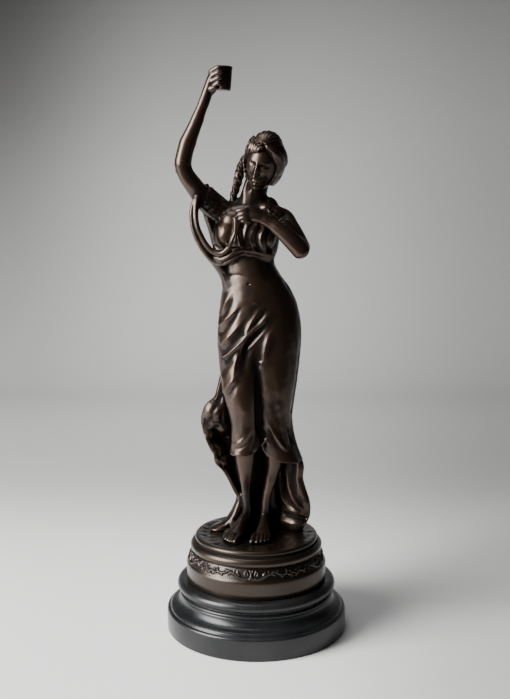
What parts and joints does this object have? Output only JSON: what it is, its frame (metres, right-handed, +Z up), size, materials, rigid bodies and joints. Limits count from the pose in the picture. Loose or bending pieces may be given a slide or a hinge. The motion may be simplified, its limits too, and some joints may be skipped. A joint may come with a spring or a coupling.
{
  "type": "torchbearer statuette",
  "caption": "Bronze statuette of a draped woman lifting a small beaker, on a round bronze plinth with a garland frieze and a turned black marble base.",
  "frame": {"origin": "centre of the marble base's underside", "axes": "+Z up, she faces -Y, and her raised right arm is on the -X side"},
  "size_m": [0.16, 0.16, 0.4885],
  "materials": {
    "bronze": "dark brown patina, rubbed satin on the raised folds",
    "black_marble": "polished black stone"
  },
  "bodies": {
    "root": {"marble_base": "black_marble", "plinth": "bronze", "figure": "bronze", "torch_cup": "bronze"}
  },
  "joints": []
}
